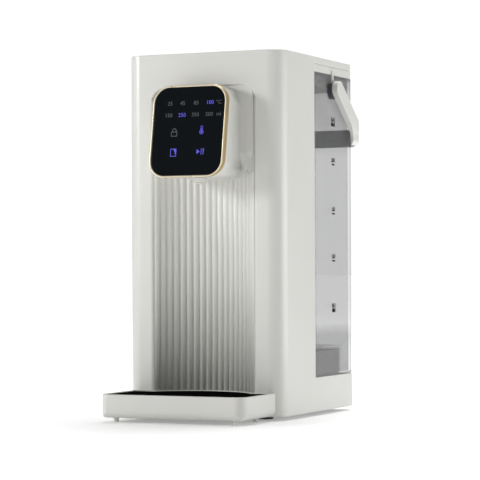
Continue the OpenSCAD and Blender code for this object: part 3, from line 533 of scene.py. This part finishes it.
# %% Depth of the flow
niche_radius, niche_depth = 60.0, 24.0
niche_ceiling = niche_hi.z * 1000 - 2.2
widen_from, widen_over = 206.0, 18.0
narrow, wider = 1.5, 11.5
blend_reach = 3.0
low_start, side_start, stand_off = 3.0, 0.3, 0.05
fullest, low_room = 2.6, 30.0
ceiling_depth, ceiling_slope = 0.7, 0.75
into_wall, into_head = 0.5, 0.6


def wall_at(x):
    """How deep the niche wall lies behind the front face, in millimetres."""
    return math.sqrt(max(niche_radius ** 2 - x * x, 0.0)) - niche_radius + niche_depth


def shallower(a, b):
    """The smaller of two depths, with a smooth change between them."""
    h = max(blend_reach - abs(a - b), 0.0) / blend_reach
    return min(a, b) - h * h * blend_reach / 4


def flow_section(x0, z0, nx, nz):
    """The flow's section at one point of the outline: (distance from the head, depth), in millimetres."""
    share = min(max((z0 - widen_from) / widen_over, 0.0), 1.0)
    share = share * share * (3 - 2 * share)
    reach, start = narrow + wider * share, wall_at(x0) - low_start
    start += (side_start - start) * share
    section = []
    for i in range(arc_points):
        a = math.radians(arc_step * i)
        u = reach * (1 - math.cos(a))
        y = wall_at(x0 + nx * u) - (wall_at(x0) - start) * (1 - math.sin(a)) + stand_off
        y = shallower(y, fullest + low_room * (1 - share))
        under_ceiling = max(niche_ceiling - z0 - nz * u, 0.0)
        section.append((u, shallower(y, ceiling_depth + ceiling_slope * under_ceiling)))
    return section + [(reach, wall_at(x0 + nx * reach) + into_wall), (-into_head, wall_at(x0) + into_wall),
                      (-into_head, start)]


print("wall depth in the middle", wall_at(0.0), "and at the rim", round(wall_at(48.0), 2))

# %% Flow between head and wall
def skin(bm, one, two):
    """Faces between two closed loops of points; a loop of one point is a pole."""
    count = max(len(one), len(two))
    for i in range(count):
        j = (i + 1) % count
        corners = [one[i % len(one)], one[j % len(one)], two[j % len(two)], two[i % len(two)]]
        bm.faces.new([v for k, v in enumerate(corners) if v not in corners[:k]])


def head_root():
    """The flow as a closed ring."""
    bm = bmesh.new()
    loops = []
    for x0, z0, nx, nz in head_outline():
        loops.append([bm.verts.new(((x0 + nx * u) * mm, front_y + y * mm,
                                    min(z0 + nz * u, niche_ceiling + into_wall) * mm))
                      for u, y in flow_section(x0, z0, nx, nz)])
    for one, two in zip(loops, loops[1:] + loops[:1]):
        skin(bm, one, two)
    bmesh.ops.recalc_face_normals(bm, faces=bm.faces)
    mesh = as_mesh(bm, "head_root")
    mesh.shade_smooth()
    mesh.set_sharp_from_angle(angle=math.radians(40))
    mesh.materials.append(finishes["white_plastic"])
    return settle(link("head_root", mesh), "base", "white_plastic")


root = head_root()
print("head root", len(root.data.polygons), "faces, ceiling", niche_ceiling)

# %% [markdown]
# ## Reeds of the niche
# Nineteen half-round reeds stand on the curved wall and end in round tips below the head. They are one shape
# repeated along an arc, which is work for Geometry Nodes: a line of points is bent to the arc, the reed is set on
# each point and turned to face the middle. Copying the reed in a loop would work too, but a tree keeps the count,
# the radius and the step as inputs that can be tried by hand.

# %% One reed
reed_r, reed_tip = 2.74 * mm, 5.0 * mm
reed_low, reed_high = niche_lo.z + 2.2 * mm, 205.9 * mm
reed_points, tip_rows = 17, 10


def reed_shape():
    """A closed half-round bar with a domed tip, its round side towards -Y."""
    bm = bmesh.new()
    rise = [math.radians(9 * i) for i in range(tip_rows)]
    rows = [(0.0, 1.0)] + [(reed_high - reed_low + reed_tip * math.sin(a), math.cos(a)) for a in rise]
    round_side = [math.radians(-96 + 12 * i) for i in range(reed_points)]
    loops = []
    for z, k in rows:
        r = reed_r * max(k, 0.04)
        loops.append([bm.verts.new((r * math.sin(t), -r * math.cos(t), z)) for t in round_side])
    for one, two in zip(loops, loops[1:]):
        skin(bm, one, two)
    bm.faces.new(loops[0][::-1])
    bm.faces.new(loops[-1])
    bmesh.ops.recalc_face_normals(bm, faces=bm.faces)
    for f in bm.faces:
        f.smooth = True
    return link("reed", as_mesh(bm, "reed"))


reed = reed_shape()
print("reed height", round(reed_high - reed_low, 4), "faces", len(reed.data.polygons))


# %% Tree helpers
def new_tree(name, inputs):
    """An empty tree with the given named inputs; returns it with its ends and the inputs' identifiers."""
    tree = bpy.data.node_groups.new(name, "GeometryNodeTree")
    tree.interface.new_socket("Geometry", in_out="OUTPUT", socket_type="NodeSocketGeometry")
    ids = {}
    for label, kind in inputs:
        ids[label] = tree.interface.new_socket(label, in_out="INPUT", socket_type="NodeSocket" + kind).identifier
    return tree, tree.nodes.new("NodeGroupInput").outputs, tree.nodes.new("NodeGroupOutput").inputs, ids


def set_on(tree, points, shape_of, rotation=None):
    """The tree's end: an object's shape on each point, as real faces."""
    shape = tree.nodes.new("GeometryNodeObjectInfo")
    tree.links.new(shape_of, shape.inputs["Object"])
    put = tree.nodes.new("GeometryNodeInstanceOnPoints")
    tree.links.new(points, put.inputs["Points"])
    tree.links.new(shape.outputs["Geometry"], put.inputs["Instance"])
    if rotation:
        tree.links.new(rotation, put.inputs["Rotation"])
    real = tree.nodes.new("GeometryNodeRealizeInstances")
    tree.links.new(put.outputs["Instances"], real.inputs["Geometry"])
    return real.outputs["Geometry"]


def coated(tree, geometry, finish_of, out):
    """The last node: one finish for all faces."""
    coat = tree.nodes.new("GeometryNodeSetMaterial")
    tree.links.new(geometry, coat.inputs["Geometry"])
    tree.links.new(finish_of, coat.inputs["Material"])
    tree.links.new(coat.outputs["Geometry"], out["Geometry"])


def grow(name, tree, ids, values):
    """Runs a tree on an empty object and keeps the result as a plain mesh."""
    obj = link(name, bpy.data.meshes.new(name))
    mod = obj.modifiers.new("rule", "NODES")
    mod.node_group = tree
    for label, value in values.items():
        mod[ids[label]] = value
    return flatten(obj)


print("tree helpers ready")

# %% Tree of the reeds
tree, given, out, reed_ids = new_tree("reeds_on_an_arc", [
    ("Reed", "Object"), ("Count", "Int"), ("Step", "Float"), ("Radius", "Float"),
    ("Axis Y", "Float"), ("Floor Z", "Float"), ("Finish", "Material")])
line = tree.nodes.new("GeometryNodeMeshLine")
tree.links.new(given["Count"], line.inputs["Count"])
index = tree.nodes.new("GeometryNodeInputIndex").outputs["Index"]
half = maths(tree, "MULTIPLY", maths(tree, "SUBTRACT", given["Count"], 1), 0.5)
angle = maths(tree, "MULTIPLY", maths(tree, "SUBTRACT", index, half), given["Step"])
spot = tree.nodes.new("ShaderNodeCombineXYZ")
tree.links.new(maths(tree, "MULTIPLY", maths(tree, "SINE", angle), given["Radius"]), spot.inputs["X"])
deep = maths(tree, "MULTIPLY", maths(tree, "COSINE", angle), given["Radius"])
tree.links.new(maths(tree, "ADD", deep, given["Axis Y"]), spot.inputs["Y"])
tree.links.new(given["Floor Z"], spot.inputs["Z"])
bend = tree.nodes.new("GeometryNodeSetPosition")
tree.links.new(line.outputs["Mesh"], bend.inputs["Geometry"])
tree.links.new(spot.outputs["Vector"], bend.inputs["Position"])
turn = tree.nodes.new("ShaderNodeCombineXYZ")
tree.links.new(maths(tree, "MULTIPLY", angle, -1), turn.inputs["Z"])
row = set_on(tree, bend.outputs["Geometry"], given["Reed"], turn.outputs["Vector"])
coated(tree, row, given["Finish"], out)
print("tree", tree.name, "nodes", len(tree.nodes))

# %% Reeds along the arc
reed_count, reed_step, reed_circle = 19, math.radians(5.4213), 61.4 * mm
niche_back = front_y + niche_depth * mm
reeds = grow("niche_reeds", tree, reed_ids, {
    "Reed": reed, "Count": reed_count, "Step": reed_step, "Radius": reed_circle,
    "Axis Y": niche_back - niche_radius * mm, "Floor Z": reed_low, "Finish": finishes["white_plastic"]})
bpy.data.objects.remove(reed)
settle(reeds, "base", "white_plastic")
print("reeds", len(reeds.data.polygons), "faces")

# %% [markdown]
# ## Figures on the glass and on the tank
# The face is one sheet of black glass with a printed mask behind it. Its figures are windows in that mask: a lamp
# makes some of them blue, the others are grey and get a faint painted glow of their own. The tank carries printed
# volume marks on its right side. Both are thin flat figures, so they are drawn as flat curves in millimetres,
# turned into closed plates a few hundredths thick, and set on the plane they belong to. A painted picture would
# blur close to the camera.

# %% Plates from flat curves
plate_half, plate_lift, capital_share = 0.03, 0.02, 0.70


def plate(curve):
    """A flat curve as a thin closed plate, with its middle plane at z = 0."""
    curve.extrude = plate_half * mm
    holder = link("figure", curve)
    mesh = evaluated(holder)
    bpy.data.objects.remove(holder)
    return mesh


def word(text, high, bold=0.0):
    """Lettering of the given height, centred; bold widens its strokes."""
    curve = bpy.data.curves.new("word", "FONT")
    curve.body, curve.size, curve.resolution_u = text, high / capital_share * mm, 3
    curve.align_x, curve.align_y, curve.offset = "CENTER", "CENTER", bold * mm
    return plate(curve)


def figure(*outlines):
    """Closed outlines in millimetres; an outline inside another one is a hole."""
    curve = bpy.data.curves.new("figure", "CURVE")
    curve.dimensions, curve.fill_mode = "2D", "BOTH"
    for points in outlines:
        spline = curve.splines.new("POLY")
        spline.points.add(len(points) - 1)
        spline.use_cyclic_u = True
        for point, (x, y) in zip(spline.points, points):
            point.co = (x * mm, y * mm, 0, 1)
    return plate(curve)


print("plates are", 2 * plate_half, "mm thick")


# %% Outlines, and plates on a plane
def bar(x0, y0, x1, y1):
    """A rectangle's corners."""
    return [(x0, y0), (x1, y0), (x1, y1), (x0, y1)]


def arc(x, y, r, start, end, steps=16):
    """Points along an arc, from one angle in degrees to another."""
    angles = [math.radians(start + (end - start) * i / steps) for i in range(steps + 1)]
    return [(x + r * math.cos(a), y + r * math.sin(a)) for a in angles]


def print_on(name, body, slot, coat, plane, items):
    """Joins placed plates into one piece; plane is (middle, right, up, outward)."""
    middle, across, upward, outward = plane
    bm = bmesh.new()
    for mesh, x, y in items:
        place = middle + across * (x * mm) + upward * (y * mm) + outward * (plate_lift * mm)
        mesh.transform(turned(across, upward, outward, place))
        bm.from_mesh(mesh)
    bmesh.ops.remove_doubles(bm, verts=bm.verts, dist=1e-7)
    bmesh.ops.recalc_face_normals(bm, faces=bm.faces)
    mesh = as_mesh(bm, name)
    mesh.materials.append(coat)
    print(name, "figures", len(items), "faces", len(mesh.polygons))
    return settle(link(name, mesh), body, slot)


print("plates stand", plate_half + plate_lift, "mm proud")

# %% Plane of the face
glass = frame["nodes"]["touch_glass"].data
glass_out = max(glass.polygons, key=lambda f: -f.normal.y * f.area).normal.copy()
glass_across = Vector((1, 0, 0))
glass_up = glass_out.cross(glass_across)
front_points = [glass.vertices[i].co for f in glass.polygons if f.normal.dot(glass_out) > 0.999
                for i in f.vertices]
heights = [v.dot(glass_up) for v in front_points]
glass_middle = glass_out * front_points[0].dot(glass_out) + glass_up * (min(heights) + max(heights)) / 2
face_plane = (glass_middle, glass_across, glass_up, glass_out)
print("glass leans by", round(abs(math.degrees(math.asin(glass_out.z))), 1), "degrees")

# %% Symbols of the face
padlock = [figure(bar(-3.2, -3.9, 3.2, 0.9), bar(-2.5, -3.2, 2.5, 0.2)),
           figure([(-2.2, 0.95)] + arc(0, 1.9, 2.2, 180, 0) + [(2.2, 0.95), (1.55, 0.95)]
                  + arc(0, 1.9, 1.55, 0, 180) + [(-1.55, 0.95)])]
thermometer = [figure([(1.2, -0.3), (1.2, 3.0)] + arc(0, 3.0, 1.2, 0, 180) + [(-1.2, -0.3)]
                      + arc(0, -1.9, 2.15, 124, 416, 24),
                      [(0.7, 0.0), (0.7, 3.0)] + arc(0, 3.0, 0.7, 0, 180) + [(-0.7, 0.0)]
                      + arc(0, -1.9, 1.6, 116, 424, 24)),
               figure([(0.3, 1.6), (-0.3, 1.6)] + arc(0, -1.9, 0.95, 108, 432, 20))]
measure = [figure(bar(-3.1, -3.8, 3.1, 3.8), bar(-2.5, -3.2, 2.5, 3.2)),
           figure([(0.0, 3.1), (2.4, 3.1), (2.4, -1.6), (1.8, -1.6), (1.5, 0.2)])]
run_hold = [figure([(-4.0, -2.3), (-0.8, 0.0), (-4.0, 2.3)]), figure(bar(0.4, -2.9, 1.0, 2.9)),
            figure([(2.5, -2.9), (3.1, -2.9), (3.6, 2.9), (2.4, 2.9)])]
symbol_scale = 0.88
for part in padlock + thermometer + measure + run_hold:
    part.transform(Matrix.Scale(symbol_scale, 4))
print("symbols drawn at", symbol_scale)

# %% Figures of the face
digit_high, heat_row, volume_row = 3.3, 23.8, 13.7
heats = ((-18.2, "25", 0), (-6.5, "45", 0), (6.1, "85", 0), (18.8, "100", 1), (26.9, "\u00b0C", 0))
volumes = ((-18.8, "150", 0), (-6.4, "250", 1), (5.9, "350", 0), (18.8, "500", 0), (27.5, "ml", 0))
lit, dim = [], []
for height, labels in ((heat_row, heats), (volume_row, volumes)):
    for x, label, on in labels:
        (lit if on else dim).append((word(label, digit_high), x, height))
for pile, symbol, x, y in ((dim, padlock, -12.5, -1.0), (lit, thermometer, 12.7, 0.4),
                           (lit, measure, -12.1, -18.2), (lit, run_hold, 13.0, -17.9)):
    pile += [(part, x, y) for part in symbol]
blue, grey = tone(78, 74, 196), tone(68, 69, 72)
glow = finish("lit_figures", blue, 0.5, drift=0.06, Emission_Color=blue + [1], Emission_Strength=0.5)
# The grey figures have no lamp behind them; their faint emission is a painted glow.
grey_painted_glow = finish("grey_figures_painted_glow", grey, 0.5, drift=0.06, Emission_Color=grey + [1], Emission_Strength=0.3)
print_on("face_figures_lit", "base", "black_glass", glow, face_plane, lit)
print_on("face_figures_dim", "base", "black_glass", grey_painted_glow, face_plane, dim)

# %% Volume marks of the tank
mark_bold, mark_y = 0.36, 114.5
side_plane = (Vector((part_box("tank_body")[1].x, front_y + mark_y * mm, 0)),
              Vector((0, 1, 0)), Vector((0, 0, 1)), Vector((1, 0, 0)))
marks = []
for z, top, low in ((255.2, "2.4 l", "MAX"), (219.5, "2.0 l", None), (176.3, "1.5 l", None),
                    (134.8, "1.0 l", None), (91.5, "0.5 l", "MIN")):
    marks.append((word(top, 3.2, mark_bold), 0, z + 2.2))
    if low:
        marks.append((word(low, 3.0, mark_bold), 0, z - 2.0))
    else:
        marks.append((figure(bar(-3.4, -0.6, 3.4, 0.6)), 0, z - 1.6))
ink = finish("dark_print", tone(9, 9, 10), 0.8, grain=2400, depth=0.02, drift=0.15, Specular_IOR_Level=0.0)
print_on("tank_marks", "tank", "smoked_clear", ink, side_plane, marks)

# %% [markdown]
# ## Screws
# Four screws hold the column's back and four hold the underside. The CAD screws are plain discs with a slot; a
# real one has a domed head with a cross recess and a thread. One screw is turned from a profile and its cross is
# cut out, then a tree sets it on the four corners of a rectangle. The same tree serves both places. Eight copies
# made by hand would look the same, but each would have to be moved when the rectangle changes.

# %% Turned screw
screw_points, pitch, head_tall = 32, 0.9, 1.6


def turned_screw(length):
    """A plain screw along +Z with its head at the bottom, sizes in millimetres inside."""
    profile = [(0.0, 0.0), (1.5, 0.03), (2.2, 0.16), (2.6, 0.45), (2.78, 0.9), (2.78, 1.5),
               (2.7, head_tall), (1.3, head_tall)]
    for i in range(int((length - 1.4) / pitch)):
        z = 1.7 + i * pitch
        profile += [(1.12, z), (1.12, z + 0.35), (1.38, z + 0.5), (1.38, z + 0.6)]
    profile += [(1.0, head_tall + length - 0.4), (0.0, head_tall + length)]
    bm = bmesh.new()
    around = [math.tau * i / screw_points for i in range(screw_points)]
    loops = [[bm.verts.new((r * mm * math.cos(a), r * mm * math.sin(a), z * mm)) for a in (around if r else [0.0])]
             for r, z in profile]
    for low, high in zip(loops, loops[1:]):
        skin(bm, low, high)
    bmesh.ops.recalc_face_normals(bm, faces=bm.faces)
    return link("screw", as_mesh(bm, "screw"))


print("screw thread every", pitch, "mm")

# %% Cross recess
cross_arm = ((0.35, 1.7), (0.35, 0.35), (1.7, 0.35))
cross_from, cross_to, cross_taper = -0.5, 1.1, 0.55


def cross():
    """The tapered cross that is cut out of the head."""
    outline = [(x * sx, y * sy) for sx in (1, -1) for sy in (1, -1) for x, y in cross_arm]
    outline.sort(key=lambda q: math.atan2(q[1], q[0]))
    bm = bmesh.new()
    low = [bm.verts.new((x * mm, y * mm, cross_from * mm)) for x, y in outline]
    high = [bm.verts.new((x * mm * cross_taper, y * mm * cross_taper, cross_to * mm)) for x, y in outline]
    bm.faces.new(low[::-1])
    bm.faces.new(high)
    skin(bm, low, high)
    bmesh.ops.recalc_face_normals(bm, faces=bm.faces)
    return link("cross", as_mesh(bm, "cross"))


def screw_shape(length):
    """A screw with its recess."""
    screw, cutter = turned_screw(length), cross()
    cut = screw.modifiers.new("recess", "BOOLEAN")
    cut.operation, cut.solver, cut.object = "DIFFERENCE", "EXACT", cutter
    flatten(screw)
    bpy.data.objects.remove(cutter)
    screw.data.shade_smooth()
    screw.data.set_sharp_from_angle(angle=math.radians(32))
    return screw


print("recess depth", cross_to, "mm")

# %% Tree of the screws
tree, given, out, screw_ids = new_tree("screws_on_corners", [
    ("Screw", "Object"), ("Span A", "Float"), ("Span B", "Float"), ("Middle", "Vector"),
    ("Turn", "Vector"), ("Finish", "Material")])
grid = tree.nodes.new("GeometryNodeMeshGrid")
preset(grid, Vertices_X=2, Vertices_Y=2)
tree.links.new(given["Span A"], grid.inputs["Size X"])
tree.links.new(given["Span B"], grid.inputs["Size Y"])
four = set_on(tree, grid.outputs["Mesh"], given["Screw"])
tip = tree.nodes.new("GeometryNodeTransform")
tree.links.new(four, tip.inputs["Geometry"])
tree.links.new(given["Middle"], tip.inputs["Translation"])
tree.links.new(given["Turn"], tip.inputs["Rotation"])
coated(tree, tip.outputs["Geometry"], given["Finish"], out)
print("tree", tree.name, "nodes", len(tree.nodes))

# %% Screws on the corners of a rectangle
screw_head = 5.6 * mm
lo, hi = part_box("base_screws")
under_screw = screw_shape(9.0)
under = grow("underside_screws", tree, screw_ids, {
    "Screw": under_screw, "Span A": hi.x - lo.x - screw_head, "Span B": hi.y - lo.y - screw_head,
    "Middle": (0, (lo.y + hi.y) / 2, lo.z), "Turn": (0, 0, 0), "Finish": finishes["steel"]})
bpy.data.objects.remove(under_screw)
settle(under, "base", "steel", "base_screws")
lo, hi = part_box("rear_screws")
back_screw = screw_shape(7.0)
rear = grow("column_back_screws", tree, screw_ids, {
    "Screw": back_screw, "Span A": hi.x - lo.x - screw_head, "Span B": hi.z - lo.z - screw_head,
    "Middle": (0, hi.y, (lo.z + hi.z) / 2), "Turn": (math.radians(90), 0, 0), "Finish": finishes["steel"]})
bpy.data.objects.remove(back_screw)
settle(rear, "base", "steel", "rear_screws")
print("screws", len(under.data.polygons), "and", len(rear.data.polygons), "faces")
